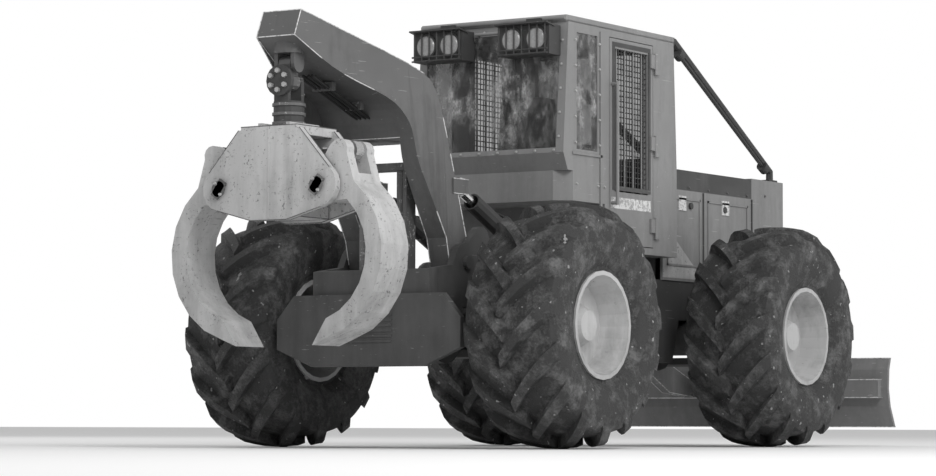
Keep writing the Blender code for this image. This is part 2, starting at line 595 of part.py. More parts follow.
# ---- rear body ----
def rear_frame():
    arch = TYRE_R + AXLE_TUBE_R + GAP
    half = EAR_Y + FRAME_PLATE
    front = -0.72
    side = [(front, FRAME_BOTTOM), (-AXLE_X + 0.3, FRAME_BOTTOM), (-AXLE_X + 0.2, arch), (-AXLE_X - 0.2, arch),
            (-AXLE_X - 0.3, FRAME_BOTTOM), (BACK_X, FRAME_BOTTOM), (BACK_X, 1.18), (PIVOT_X - 0.16, 1.22),
            *arc(PIVOT_X, PIVOT_Z, 0.13, 150, 80, 4), *arc(-1.43, 1.39, 0.10, 150, 10, 6), (-1.28, 1.20),
            (-0.95, 1.16), (front, 1.10)]
    frame = plate("rear_frame", side, "y", -half, half, DARK)
    cut(frame, cut_box((BACK_X + 0.04, -EAR_Y, FRAME_BOTTOM + FRAME_PLATE), (front - 0.06, EAR_Y, 2.0)))
    axle_room(frame, -1)
    # butt plate with its wings behind the axle, and the deck that carries the fairlead
    wing = [(-0.60, 1.02), (-0.74, 0.86), (-0.74, 0.66), (-0.45, 0.54), (0.45, 0.54), (0.74, 0.66), (0.74, 0.86),
            (0.60, 1.02)]
    join(frame, plate("butt_plate", wing, "x", BACK_X - 0.04, BACK_X + 0.01),
         box("deck", (BACK_X + 0.02, -EAR_Y - 0.01, DECK_TOP - 0.06), (-1.76, EAR_Y + 0.01, DECK_TOP)))
    tongue = [(front - 0.08, -0.24), (front - 0.08, 0.24), (-0.45, 0.15), (-0.16, 0.09),
              *arc(0, 0, HITCH_R, 80, -80, 8), (-0.16, -0.09), (-0.45, -0.15)]
    join(frame, plate("tongue", tongue, "z", HITCH_BOTTOM, HITCH_TOP))
    cut(frame, rod("hitch_hole", (0, 0, 0), "z", hole(HITCH_PIN_R), HITCH_BOTTOM - 0.1, HITCH_TOP + 0.1, None,
                   cutters, PIN_SIDES))
    base_x, base_y, base_z = BOOM_CYL_BASE
    steer_x, steer_y = STEER_BASE
    near, far = EYE_W / 2 + LUG_CLEAR, EYE_W / 2 + LUG_CLEAR + LUG_T
    for _, sign in SIDES:
        # the steering cylinder leaves through a window in the front bulkhead
        low, high = mirrored(0.235, EAR_Y, sign)
        cut(frame, cut_box((front - 0.1, low, STEER_Z - 0.08), (front + 0.1, high, STEER_Z + 0.08)))
        for low, high in ((STEER_Z - far, STEER_Z - near), (STEER_Z + near, STEER_Z + far)):
            join(frame, side_box("lug", (steer_x - 0.06, steer_x + 0.06), (steer_y - 0.06, EAR_Y + 0.01),
                                 (low, high), sign))
        join(frame, rod("steer_pin", (steer_x, sign * steer_y, 0), "z", EYE_PIN_R, STEER_Z - far + 0.005,
                        STEER_Z + far - 0.005, segments=PIN_SIDES))
        # boom cylinder's shelf, lugs and pin
        join(frame, side_box("lug_shelf", (front - 0.08, base_x - 0.02), (0.10, base_y + far), (0.96, 1.02), sign))
        for low, high in ((base_y - far, base_y - near), (base_y + near, base_y + far)):
            lug = [(base_x - 0.22, 1.0), *arc(base_x, base_z, 0.055, 160, -30, 6), (base_x - 0.04, 1.0)]
            join(frame, plate("boom_lug", lug, "y", *mirrored(low, high, sign)))
        cross_pin(frame, BOOM_CYL_BASE, sign)
        low, high = mirrored(0.30, half + 0.03, sign)
        join(frame, rod("boom_pin", (PIVOT_X, 0, PIVOT_Z), "y", PIN_R, low, high, segments=PIN_SIDES))
        low, high = mirrored(WINCH_HALF_W, EAR_Y + 0.01, sign)
        join(frame, rod("winch_boss", (WINCH_X, 0, WINCH_Z), "y", 0.07, low, high))


def winch():
    w = WINCH_HALF_W - GAP
    profile = [(w, 0.0), (w, 0.05), (0.22, 0.05), (0.22, 0.165), (0.195, 0.165), (0.195, 0.09)]
    turned("winch_drum", profile + [(-s, r) for s, r in reversed(profile)], (WINCH_X, 0, WINCH_Z), 1, DARK, 20)
    low, top = DECK_TOP + GAP, 1.90
    x0, x1 = -1.93, -1.80
    lead = box("fairlead", (x0, -0.20, low), (x1, 0.20, low + 0.05), DARK)
    middle = (x0 + x1) / 2
    for _, sign in SIDES:
        join(lead, side_box("post", (x0 + 0.01, x1 - 0.01), (0.16, 0.19), (low + 0.02, top), sign),
             rod("roller", (middle, sign * 0.12, 0), "z", 0.038, low + 0.02, top - 0.03, segments=12))
    join(lead, box("cap", (x0, -0.20, top - 0.05), (x1, 0.20, top)),
         rod("roller", (middle, 0, 1.36), "y", 0.035, -0.17, 0.17, segments=12))


# ---- boom and grapple ----
def eased(line, share=0.35, steps=3):
    """A line of points with each inner corner replaced by a short curve."""
    points = [line[0]]
    for before, corner, after in zip(line, line[1:], line[2:]):
        for i in range(steps + 1):
            lead, trail = share * (1 - i / steps) ** 2, share * (i / steps) ** 2
            points.append(tuple(c + lead * (a - c) + trail * (b - c) for a, c, b in zip(before, corner, after)))
    return points + [line[-1]]


def boom():
    # x, z and half width along the outline, from the rear end over the top to the feet and back
    top = [(-BOOM_END, 2.80, 0.15), (-1.90, 2.50, 0.33), (-1.78, 2.36, 0.35), (-1.66, 1.92, 0.38),
           (-1.51, 1.36, BOOM_Y)]
    under = [(-1.77, 1.40, BOOM_Y), (-1.93, 1.66, 0.40), (-2.07, 1.90, 0.38), (-2.11, 2.13, 0.36),
             (-2.25, 2.28, 0.32), (-2.75, 2.43, 0.21), (-BOOM_END - BOOM_END_LEAN, 2.63, 0.15)]
    rim = [*eased(top), *[(x, z, BOOM_Y) for x, z in arc(PIVOT_X, PIVOT_Z, 0.11, 0, -180, 8)], *eased(under)]
    shape = bmesh.new()
    rows = [[shape.verts.new((x, sign * y, z)) for x, z, y in rim] for sign in (-1, 1)]
    shape.faces.new(rows[0])
    shape.faces.new(rows[1])
    for i in range(len(rim)):
        j = (i + 1) % len(rim)
        shape.faces.new((rows[0][i], rows[0][j], rows[1][j], rows[1][i]))
    bmesh.ops.triangulate(shape, faces=shape.faces)
    arch = from_bmesh(shape, "boom", BOOM)
    # the legs stand apart, so the winch line runs between them
    cut(arch, cut_box((-2.6, -PORTAL_HALF_W, 1.0), (-1.3, PORTAL_HALF_W, PORTAL_TOP)))
    cut(arch, rod("pivot_hole", (PIVOT_X, 0, PIVOT_Z), "y", hole(PIN_R), -0.6, 0.6, None, cutters, PIN_SIDES))
    join(arch, rod("boss", (HANG_X, 0, 0), "z", 0.10, HANG_Z + 0.07, HANG_Z + 0.16))
    eye_x, _, eye_z = BOOM_CYL_EYE
    for _, sign in SIDES:
        lugs(arch, BOOM_CYL_EYE, sign, (eye_x - 0.13, eye_x + 0.05), (eye_z - 0.05, eye_z + 0.05))
        low, high = mirrored(SWING_HALF + LUG_CLEAR, SWING_HALF + LUG_CLEAR + 0.028, sign)
        join(arch, plate("hanger", [(HANG_X - 0.055, HANG_Z + 0.09), *arc(HANG_X, HANG_Z, 0.055, 180, 360, 6),
                                    (HANG_X + 0.055, HANG_Z + 0.09)], "y", low, high))
    span = SWING_HALF + LUG_CLEAR + 0.014
    join(arch, rod("swing_pin", (HANG_X, 0, HANG_Z), "y", SWING_PIN_R, -span, span, segments=PIN_SIDES))


def grapple():
    half = SWING_HALF
    inset = 0.004  # the bar is a little narrower than its eyes and runs a little past their centres
    link = box("swing_link", (HANG_X - half + inset, inset - half, CROSS_Z - inset),
               (HANG_X + half - inset, half - inset, HANG_Z + inset), DARK)
    join(link, rod("eye", (HANG_X, 0, HANG_Z), "y", SWING_EYE_R, -half, half, segments=PIN_SIDES),
         rod("eye", (0, 0, CROSS_Z), "x", SWING_EYE_R, HANG_X - half - 0.003, HANG_X + half + 0.003, segments=PIN_SIDES))
    cut(link, rod("hole", (HANG_X, 0, HANG_Z), "y", hole(SWING_PIN_R), -0.2, 0.2, None, cutters, PIN_SIDES),
        rod("hole", (0, 0, CROSS_Z), "x", hole(SWING_PIN_R), HANG_X - 0.2, HANG_X + 0.2, None, cutters, PIN_SIDES))

    low, base = HEAD_TOP + GAP, 2.22
    yoke = rod("rotator", (HANG_X, 0, 0), "z", 0.10, low, base, DARK)
    near, far = half + 0.012, half + 0.042
    for a, b in ((-far, -near), (near, far)):
        cheek = [(-0.055, base - 0.03), *arc(0, CROSS_Z, 0.055, 180, 0, 6), (0.055, base - 0.03)]
        join(yoke, plate("cheek", cheek, "x", HANG_X + a, HANG_X + b))
    join(yoke, rod("cross_pin", (0, 0, CROSS_Z), "x", SWING_PIN_R, HANG_X - near - 0.01, HANG_X + near + 0.01,
                   segments=PIN_SIDES),
         rod("brake", (0, 0, CROSS_Z), "x", 0.10, HANG_X - far - 0.025, HANG_X - far + 0.005))

    outline = [(-0.24, 2.03), *arc(-TONG_Y, TONG_Z, 0.14, 130, 260, 6), (-0.14, 1.45), (0.14, 1.45),
               *arc(TONG_Y, TONG_Z, 0.14, -80, 50, 6), (0.24, 2.03)]
    head = box("grapple_head", (HANG_X - 0.18, -0.20, 1.47), (HANG_X + 0.18, 0.20, 1.72), TONG)
    join(head, box("cover", (HANG_X - HEAD_HALF_X, -0.22, 1.99), (HANG_X + HEAD_HALF_X, 0.22, HEAD_TOP)))
    for _, sign in SIDES:
        low, high = mirrored(HEAD_HALF_X - HEAD_PLATE, HEAD_HALF_X, sign)
        join(head, plate("cheek", outline, "x", HANG_X + low, HANG_X + high))
        join(head, rod("tong_pin", (0, sign * TONG_Y, TONG_Z), "x", TONG_PIN_R, HANG_X - HEAD_HALF_X - 0.01,
                       HANG_X + HEAD_HALF_X + 0.01, segments=PIN_SIDES))
    for name, sign in SIDES:
        tong(name, sign)


def tong(name, sign):
    """One tong: a hub on its pin, an arm up to the cylinder and a jaw that curves down to its tip."""
    bend_y, bend_z = 0.27, 1.24
    half = [(0.30, 1.70), (0.43, 1.91), *arc(TONG_TOP_Y, TONG_TOP_Z, 0.065, 120, -20, 5),
            *arc(bend_y, bend_z, 0.56, 52, -75, 8), (0.30, 0.655), *arc(bend_y, bend_z, 0.44, -72, 48, 8),
            (0.42, 1.555), (0.33, 1.575), (0.29, 1.63)]
    body = plate(f"tong_{name}", [(sign * y, z) for y, z in half], "x", HANG_X - TONG_HALF_X, HANG_X + TONG_HALF_X,
                 TONG)
    low, high = mirrored(0.20, 0.70, sign)
    cut(body, cut_box((HANG_X - TONG_SLOT, low, 1.735), (HANG_X + TONG_SLOT, high, 2.1)),
        rod("tong_hole", (0, sign * TONG_Y, TONG_Z), "x", hole(TONG_PIN_R), HANG_X - 0.3, HANG_X + 0.3, None, cutters,
            PIN_SIDES))
    if sign > 0:
        join(body, rod("base_pin", (0, sign * TONG_TOP_Y, TONG_TOP_Z), "x", EYE_PIN_R, HANG_X - TONG_HALF_X + 0.01,
                       HANG_X + TONG_HALF_X - 0.01, segments=PIN_SIDES))


wheels()
for end, ahead in ENDS:
    axle(f"{end}_axle", ahead)
front_frame()
cab()
cab_fittings()
hood()
blade()
rear_frame()
winch()
boom()
grapple()
cylinders()
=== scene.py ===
import bpy
import bmesh
import math
import json
from mathutils import Matrix, Vector

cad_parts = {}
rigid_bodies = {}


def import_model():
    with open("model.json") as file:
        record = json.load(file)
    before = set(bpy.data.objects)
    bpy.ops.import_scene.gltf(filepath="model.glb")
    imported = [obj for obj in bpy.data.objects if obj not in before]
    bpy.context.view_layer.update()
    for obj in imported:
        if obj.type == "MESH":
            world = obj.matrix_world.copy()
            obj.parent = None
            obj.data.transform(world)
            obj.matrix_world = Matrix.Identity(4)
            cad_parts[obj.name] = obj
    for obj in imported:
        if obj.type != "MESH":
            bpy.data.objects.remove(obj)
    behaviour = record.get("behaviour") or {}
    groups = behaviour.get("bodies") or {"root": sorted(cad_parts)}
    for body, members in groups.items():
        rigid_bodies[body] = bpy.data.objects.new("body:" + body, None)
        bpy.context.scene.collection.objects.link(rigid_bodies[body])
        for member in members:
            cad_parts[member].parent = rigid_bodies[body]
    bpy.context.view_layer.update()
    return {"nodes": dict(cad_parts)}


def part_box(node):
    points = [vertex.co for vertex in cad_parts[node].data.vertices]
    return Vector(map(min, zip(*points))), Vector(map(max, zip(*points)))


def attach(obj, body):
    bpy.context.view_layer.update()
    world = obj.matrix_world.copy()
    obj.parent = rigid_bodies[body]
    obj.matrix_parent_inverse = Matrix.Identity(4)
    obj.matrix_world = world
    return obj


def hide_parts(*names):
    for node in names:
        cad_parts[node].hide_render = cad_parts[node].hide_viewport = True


for old in list(bpy.data.objects):
    bpy.data.objects.remove(old)
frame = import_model()
nodes = frame["nodes"]
sides = (("right", -1), ("left", 1))
ends = ("front", "rear")
print("frame loaded:", len(nodes), "nodes")


# shader maths
class Wire:
    def __init__(self, shader, socket):
        self.shader = shader
        self.socket = socket

    def math(self, operation, first, second):
        return self.shader.node("ShaderNodeMath", {"operation": operation}, {0: first, 1: second})

    def __add__(self, other):
        return self.math("ADD", self, other)

    def __sub__(self, other):
        return self.math("SUBTRACT", self, other)

    def __rsub__(self, other):
        return self.math("SUBTRACT", other, self)

    def __mul__(self, other):
        return self.math("MULTIPLY", self, other)

    __radd__ = __add__
    __rmul__ = __mul__


class Shader:
    def __init__(self, name):
        self.material = bpy.data.materials.new(name)
        self.material.use_nodes = True
        self.tree = self.material.node_tree
        self.surface = self.tree.nodes["Principled BSDF"]
        self.place = self.node("ShaderNodeTexCoord", {}, {}, "Object")

    def node(self, kind, settings, values, out=0):
        made = self.tree.nodes.new(kind)
        for key, value in settings.items():
            setattr(made, key, value)
        for key, value in values.items():
            if isinstance(value, Wire):
                self.tree.links.new(value.socket, made.inputs[key])
            else:
                made.inputs[key].default_value = value
        return Wire(self, made.outputs[out])

    def noise(self, scale, detail=6, rough=0.6, stretch=(1, 1, 1)):
        place = self.node("ShaderNodeMapping", {}, {"Vector": self.place, "Scale": stretch})
        return self.node("ShaderNodeTexNoise", {}, {"Vector": place, "Scale": scale, "Detail": detail,
                                                    "Roughness": rough}, "Fac")

    def band(self, value, low, high, first=0.0, last=1.0):
        return self.node("ShaderNodeMapRange", {"clamp": True},
                         {"Value": value, "From Min": low, "From Max": high, "To Min": first, "To Max": last})

    def height(self):
        return self.node("ShaderNodeSeparateXYZ", {}, {"Vector": self.place}, "Z")

    def mix(self, amount, first, second):
        made = self.tree.nodes.new("ShaderNodeMix")
        made.data_type = "RGBA"
        self.tree.links.new(amount.socket, made.inputs[0])
        for index, value in ((6, first), (7, second)):
            if isinstance(value, Wire):
                self.tree.links.new(value.socket, made.inputs[index])
            else:
                made.inputs[index].default_value = (value, value, value, 1)
        return Wire(self, made.outputs[2])

    def set(self, name, value):
        target = self.surface.inputs[name]
        if isinstance(value, Wire):
            self.tree.links.new(value.socket, target)
        else:
            target.default_value = value

    def bump(self, value, strength, distance):
        self.set("Normal", self.node("ShaderNodeBump", {}, {"Height": value, "Strength": strength,
                                                            "Distance": distance}))


paints = {
    # grey, dirt grey, how dirty, how chipped, bare grey, roughness
    "body": dict(grey=0.25, dirt=0.16, dirty=0.45, chipped=0.69, bare=0.55, rough=0.42),
    "hood": dict(grey=0.055, dirt=0.14, dirty=0.42, chipped=0.70, bare=0.35, rough=0.5),
    "boom": dict(grey=0.11, dirt=0.05, dirty=0.46, chipped=0.70, bare=0.55, rough=0.45),
    "frame": dict(grey=0.05, dirt=0.12, dirty=0.50, chipped=0.71, bare=0.30, rough=0.6),
    "grapple": dict(grey=0.54, dirt=0.20, dirty=0.44, chipped=0.62, bare=0.10, rough=0.5),
    "rim": dict(grey=0.46, dirt=0.14, dirty=0.55, chipped=0.68, bare=0.10, rough=0.5),
    "steel": dict(grey=0.10, dirt=0.20, dirty=0.45, chipped=0.62, bare=0.45, rough=0.4),
    "stripe": dict(grey=0.72, dirt=0.25, dirty=0.56, chipped=0.56, bare=0.25, rough=0.5),
}


def paint(name, grey, dirt, dirty, chipped, bare, rough):
    shader = Shader(name)
    cloud = shader.noise(2.2, 8, 0.62)
    streak = shader.noise(5.0, 7, 0.65, (1.6, 1.6, 0.22))
    speck = shader.noise(46, 5, 0.72)
    low = shader.band(shader.height(), 0.5, 2.4, 0.10, -0.05)
    soil = shader.band(cloud * 0.55 + streak * 0.45 + low, dirty, dirty + 0.20)
    chip = shader.band(speck * 0.7 + shader.noise(9, 4, 0.6) * 0.3, chipped - 0.05, chipped - 0.01)
    scratch = shader.band(shader.noise(30, 3, 0.5, (0.12, 0.5, 3.0)), 0.70, 0.72)
    faded = shader.mix(shader.band(shader.noise(1.1, 3), 0.35, 0.65), grey * 0.86, min(1, grey * 1.12))
    dusty = shader.mix(soil * 0.62, faded, dirt)
    worn = shader.mix(scratch * 0.45, dusty, bare)
    shader.set("Base Color", shader.mix(chip * 0.8, worn, bare))
    shader.set("Roughness", rough + soil * 0.35 - chip * 0.05)
    shader.bump(soil * 0.6 + speck * 0.25 - chip * 0.4, 0.35, 0.003)
    return shader.material


def rubber():
    shader = Shader("muddyRubber")
    clod = shader.noise(7, 8, 0.7)
    grit = shader.noise(60, 6, 0.75)
    leaf = shader.noise(24, 2, 0.4)
    mud = shader.band(clod + grit * 0.22, 0.56, 0.72)
    pale = shader.band(leaf, 0.72, 0.74) * 0.8
    tone = shader.mix(grit, 0.018, 0.05)
    caked = shader.mix(mud * 0.8, tone, shader.mix(grit, 0.05, 0.26))
    shader.set("Base Color", shader.mix(pale, caked, 0.42))
    shader.set("Roughness", 0.68 + mud * 0.27)
    shader.bump(mud * 1.0 + grit * 0.7, 0.75, 0.012)
    return shader.material


def glass():
    shader = Shader("scratchedPane")
    blot = shader.band(shader.noise(7.0, 9, 0.75, (1, 1, 0.5)), 0.44, 0.60)
    smear = shader.band(shader.noise(2.4, 6, 0.7), 0.38, 0.62) * blot
    shader.set("Base Color", shader.mix(smear, 0.05, 0.55))
    shader.set("Roughness", 0.10 + smear * 0.25)
    shader.set("Alpha", 0.42 + smear * 0.40)
    return shader.material


def plain(name, grey, rough, metallic=0.0, scale=80, strength=0.25):
    shader = Shader(name)
    grain = shader.noise(scale, 5, 0.6)
    shader.set("Base Color", shader.mix(shader.band(grain, 0.3, 0.7), grey * 0.8, min(1, grey * 1.15)))
    shader.set("Roughness", rough - 0.08 + grain * 0.16)
    shader.set("Metallic", metallic)
    shader.bump(grain, strength, 0.001)
    return shader.material


finish = {name: paint(name + "Paint", **values) for name, values in paints.items()}
finish["rubber"] = rubber()
finish["glass"] = glass()
finish["rod"] = plain("polishedRod", 0.72, 0.16, 1.0, 200, 0.03)
finish["seat"] = plain("seatVinyl", 0.03, 0.6, 0, 160, 0.4)
finish["hose"] = plain("hoseRubber", 0.02, 0.6, 0, 120, 0.4)
finish["lens"] = plain("lampLens", 0.36, 0.12, 0, 90, 0.5)
finish["bolt"] = plain("zincBolt", 0.55, 0.4, 0.6, 150, 0.2)
print("finishes made:", len(finish))

nodeFinish = {
    "boom": "boom", "grapple_head": "grapple", "tong_right": "grapple", "tong_left": "grapple",
    "hood_top": "hood", "operator_seat": "seat", "windshield": "glass", "rear_window": "glass",
    "front_frame": "frame", "rear_frame": "frame", "front_axle": "frame", "rear_axle": "frame",
    "engine_block": "frame", "front_grille": "frame", "exhaust_stack": "steel", "control_console": "seat",
    "work_light_right": "frame", "work_light_left": "frame", "winch_drum": "steel", "fairlead": "steel",
    "swing_link": "steel", "rotator": "frame", "limb_riser_right": "frame", "limb_riser_left": "frame",
}
for name, node in nodes.items():
    chosen = nodeFinish.get(name, "body")
    if name.startswith("rim"):
        chosen = "rim"
    elif name.endswith("_rod"):
        chosen = "rod"
    elif name.endswith("_barrel"):
        chosen = "frame"
    elif name.startswith("quarter_window"):
        chosen = "glass"
    node.data.materials.clear()
    node.data.materials.append(finish[chosen])


# making pieces
def piece(name, shape, body, look):
    mesh = bpy.data.meshes.new(name)
    bmesh.ops.recalc_face_normals(shape, faces=shape.faces)
    shape.to_mesh(mesh)
    shape.free()
    made = bpy.data.objects.new(name, mesh)
    bpy.context.scene.collection.objects.link(made)
    mesh.materials.append(finish[look])
    mesh.set_sharp_from_angle(angle=math.radians(35))
    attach(made, body)
    return made


def addBox(shape, low, high, turn=None):
    low, high = Vector(low), Vector(high)
    place = Matrix.Translation((low + high) / 2) @ (turn or Matrix.Identity(4))
    bmesh.ops.create_cube(shape, size=1, matrix=place @ Matrix.Diagonal((*(high - low), 1)))


def addRod(shape, start, end, radius, segments=12, tip=None):
    start, end = Vector(start), Vector(end)
    turn = (end - start).to_track_quat("Z", "Y").to_matrix().to_4x4()
    bmesh.ops.create_cone(shape, cap_ends=True, segments=segments, radius1=radius, depth=(end - start).length,
                          radius2=radius if tip is None else tip,
                          matrix=Matrix.Translation((start + end) / 2) @ turn)


def sideRange(side, near, far):
    return sorted((side * near, side * far))


def boltRow(start, end, count):
    start, end = Vector(start), Vector(end)
    return [start.lerp(end, i / (count - 1)) for i in range(count)]


def boltTree(look, radius, height):
    tree = bpy.data.node_groups.new("bolts", "GeometryNodeTree")
    tree.interface.new_socket("Geometry", in_out="INPUT", socket_type="NodeSocketGeometry")
    tree.interface.new_socket("Geometry", in_out="OUTPUT", socket_type="NodeSocketGeometry")
    radiusSocket = tree.interface.new_socket("Radius", in_out="INPUT", socket_type="NodeSocketFloat")
    heightSocket = tree.interface.new_socket("Height", in_out="INPUT", socket_type="NodeSocketFloat")
    source, sink = tree.nodes.new("NodeGroupInput"), tree.nodes.new("NodeGroupOutput")
    head = tree.nodes.new("GeometryNodeMeshCone")
    head.inputs["Vertices"].default_value = 8
    tree.links.new(source.outputs["Radius"], head.inputs["Radius Bottom"])
    shrink = tree.nodes.new("ShaderNodeMath")
    shrink.operation = "MULTIPLY"
    shrink.inputs[1].default_value = 0.6
    tree.links.new(source.outputs["Radius"], shrink.inputs[0])
    tree.links.new(shrink.outputs[0], head.inputs["Radius Top"])
    tree.links.new(source.outputs["Height"], head.inputs["Depth"])
    normal = tree.nodes.new("GeometryNodeInputNamedAttribute")
    normal.data_type = "FLOAT_VECTOR"
    normal.inputs["Name"].default_value = "facing"
    turn = tree.nodes.new("FunctionNodeAlignRotationToVector")
    turn.axis = "Z"
    tree.links.new(normal.outputs["Attribute"], turn.inputs["Vector"])
    spread = tree.nodes.new("GeometryNodeInstanceOnPoints")
    tree.links.new(source.outputs["Geometry"], spread.inputs["Points"])
    tree.links.new(head.outputs["Mesh"], spread.inputs["Instance"])
    tree.links.new(turn.outputs[0], spread.inputs["Rotation"])
    real = tree.nodes.new("GeometryNodeRealizeInstances")
    tree.links.new(spread.outputs[0], real.inputs[0])
    skin = tree.nodes.new("GeometryNodeSetMaterial")
    skin.inputs["Material"].default_value = finish[look]
    tree.links.new(real.outputs[0], skin.inputs["Geometry"])
    tree.links.new(skin.outputs[0], sink.inputs[0])
    return tree, ((radiusSocket.identifier, radius), (heightSocket.identifier, height))


def bolts(name, body, spots, look="bolt", radius=0.011, height=0.010):
    # spots are (place, facing)
    mesh = bpy.data.meshes.new(name + "_spots")
    mesh.from_pydata([tuple(p) for p, _ in spots], [], [])
    facing = mesh.attributes.new("facing", "FLOAT_VECTOR", "POINT")
    facing.data.foreach_set("vector", [c for _, n in spots for c in n])
    seed = bpy.data.objects.new(name + "_seed", mesh)
    bpy.context.scene.collection.objects.link(seed)
    step = seed.modifiers.new("bolts", "NODES")
    step.node_group, values = boltTree(look, radius, height)
    for key, value in values:
        step[key] = value
    depsgraph = bpy.context.evaluated_depsgraph_get()
    result = bpy.data.meshes.new_from_object(seed.evaluated_get(depsgraph))
    bpy.data.objects.remove(seed)
    made = bpy.data.objects.new(name, result)
    bpy.context.scene.collection.objects.link(made)
    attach(made, body)
    return made


def edgeLinesHighlitAndWorn(nodeName, body, look, longer, radius):
    # lines along the long sharp edges: the pale lines on the boom and blade are painted highlight, and the
    # dark lines on the grapple head are bare steel where the paint has rubbed off
    source = bmesh.new()
    source.from_mesh(nodes[nodeName].data)
    bmesh.ops.remove_doubles(source, verts=source.verts, dist=0.0001)
    shape = bmesh.new()
    for edge in source.edges:
        sharp = len(edge.link_faces) == 2 and edge.calc_face_angle() > math.radians(40)
        if sharp and edge.calc_length() > longer:
            addRod(shape, edge.verts[0].co, edge.verts[1].co, radius, 6)
    source.free()
    return piece(f"{nodeName}_highlight_and_worn_edges", shape, body, look)


# tyres
tyre = dict(lugs=15, bottom=0.742, lugTop=0.81, lean=0.46, width=0.082, widen=0.25, foot=1.45, sunk=0.02,
            stations=8, noseY=-0.02, edgeY=0.345, steps=64, nuts=12, nutCircle=0.20, nutFace=0.062)
# distance from the middle plane and radius, from the bead over the shoulder to the middle of the tread
tyreHalf = [(0.285, 0.345), (0.286, 0.385), (0.325, 0.43), (0.345, 0.50), (0.353, 0.58), (0.345, 0.66),
            (0.316, 0.700), (0.24, 0.722), (0.12, 0.738), (0.0, 0.742)]
# distance from the middle plane, and how far the tread has dropped there
treadDrop = ((0.0, 0.0), (0.14, 0.004), (0.24, 0.020), (0.30, 0.05), (0.345, 0.12))


def dropAt(y):
    for (y0, d0), (y1, d1) in zip(treadDrop, treadDrop[1:]):
        if y <= y1:
            return d0 + (d1 - d0) * (y - y0) / (y1 - y0)
    return treadDrop[-1][1]


def addLug(shape, angle, side):
    rows = []
    for i in range(tyre["stations"]):
        share = i / (tyre["stations"] - 1)
        y = tyre["noseY"] + share * (tyre["edgeY"] - tyre["noseY"])
        drop = dropAt(y)
        top = tyre["lugTop"] - drop
        base = tyre["bottom"] - drop - tyre["sunk"]
        turn = angle + tyre["lean"] * share ** 0.9
        half = tyre["width"] / 2 * (1 + tyre["widen"] * share)
        foot = half * tyre["foot"]
        row = []
        for radius, reach in ((base, -foot), (top, -half), (top, half), (base, foot)):
            a = turn + reach / radius
            row.append(shape.verts.new((radius * math.sin(a), side * y, radius * math.cos(a))))
        rows.append(row)
    for first, second in zip(rows, rows[1:]):
        for k in range(4):
            shape.faces.new((first[k], first[(k + 1) % 4], second[(k + 1) % 4], second[k]))
    shape.faces.new(rows[0])
    shape.faces.new(rows[-1])


def makeTyre(end, sideName, side):
    wheel = f"wheel_{end}_{sideName}"
    low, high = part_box(f"tyre_{end}_{sideName}")
    centre = (low + high) / 2
    shape = bmesh.new()
    profile = tyreHalf + [(-y, r) for y, r in reversed(tyreHalf[:-1])]
    steps = tyre["steps"]
    rings = [[shape.verts.new((r * math.sin(a), y, r * math.cos(a))) for y, r in profile]
             for a in (2 * math.pi * i / steps for i in range(steps))]
    for i in range(steps):
        here, there = rings[i], rings[(i + 1) % steps]
        for k in range(len(profile)):
            n = (k + 1) % len(profile)
            shape.faces.new((here[k], here[n], there[n], there[k]))
    pitch = 2 * math.pi / tyre["lugs"]
    for i in range(tyre["lugs"]):
        addLug(shape, i * pitch, 1)
        addLug(shape, (i + 0.5) * pitch, -1)
    bmesh.ops.translate(shape, verts=shape.verts, vec=centre)
    made = piece(f"lugged_tyre_{end}_{sideName}", shape, wheel, "rubber")
    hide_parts(f"tyre_{end}_{sideName}")
    spots = []
    for i in range(tyre["nuts"]):
        a = 2 * math.pi * i / tyre["nuts"]
        circle = tyre["nutCircle"]
        out = Vector((circle * math.sin(a), side * tyre["nutFace"], circle * math.cos(a)))
        spots.append((centre + out, (0, side, 0)))
    bolts(f"wheel_nuts_{end}_{sideName}", wheel, spots, "steel", 0.018, 0.024)


for end in ends:
    for sideName, side in sides:
        makeTyre(end, sideName, side)
print("tyres made")

# cab
cab = dict(rearX=-0.617, halfWidth=0.617, belt=2.05, lean=0.074, proud=0.002)
cabBolts = dict(rows=(2.066, 2.932), rowEnd=0.54, rowCount=8, columns=(-0.575, 0.575), columnLow=2.16,
                columnStep=0.17, posts=(-0.458, -0.132), postLow=2.13, postStep=0.18, perColumn=5,
                tailX=(-0.44, -0.15, -0.06), tailZ=1.84, rearFacing=(-1, 0, 0.07))
railing = dict(half=0.60, inset=0.005, drop=0.022, radius=0.017, at=2.9, z=2.915, out=0.05, thin=0.011,
               ends=(-0.10, 0.12), feet=(-0.09, 0.11))


def rearX(z):
    # the back wall leans forward above the belt
    return cab["rearX"] + max(0, z - cab["belt"]) * cab["lean"]


spots = []
rear, reach = cabBolts["rearFacing"], cabBolts["rowEnd"]
for z in cabBolts["rows"]:
    x = rearX(z) - cab["proud"]
    spots += [(place, rear) for place in boltRow((x, -reach, z), (x, reach, z), cabBolts["rowCount"])]
for y in cabBolts["columns"]:
    heights = [cabBolts["columnLow"] + cabBolts["columnStep"] * i for i in range(cabBolts["perColumn"])]
    spots += [((rearX(z) - cab["proud"], y, z), rear) for z in heights]
for _, side in sides:
    y = side * (cab["halfWidth"] + cab["proud"])
    heights = [cabBolts["postLow"] + cabBolts["postStep"] * i for i in range(cabBolts["perColumn"])]
    spots += [((x, y, z), (0, side, 0)) for x in cabBolts["posts"] for z in heights]
    spots += [((x, y, cabBolts["tailZ"]), (0, side, 0)) for x in cabBolts["tailX"]]
bolts("cab_bolts", "front_body", spots)

roofLow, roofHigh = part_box("cab_roof")
shape = bmesh.new()
x, z = roofLow.x + railing["inset"], roofHigh.z - railing["drop"]
addRod(shape, (x, -railing["half"], z), (x, railing["half"], z), railing["radius"])
wall, z = rearX(railing["at"]), railing["z"]
x = wall - railing["out"]
addRod(shape, (x, railing["ends"][0], z), (x, railing["ends"][1], z), railing["thin"])
for y in railing["feet"]:
    addRod(shape, (x, y, z), (wall + 0.01, y, z), railing["thin"])
piece("cab_rear_rail", shape, "front_body", "body")

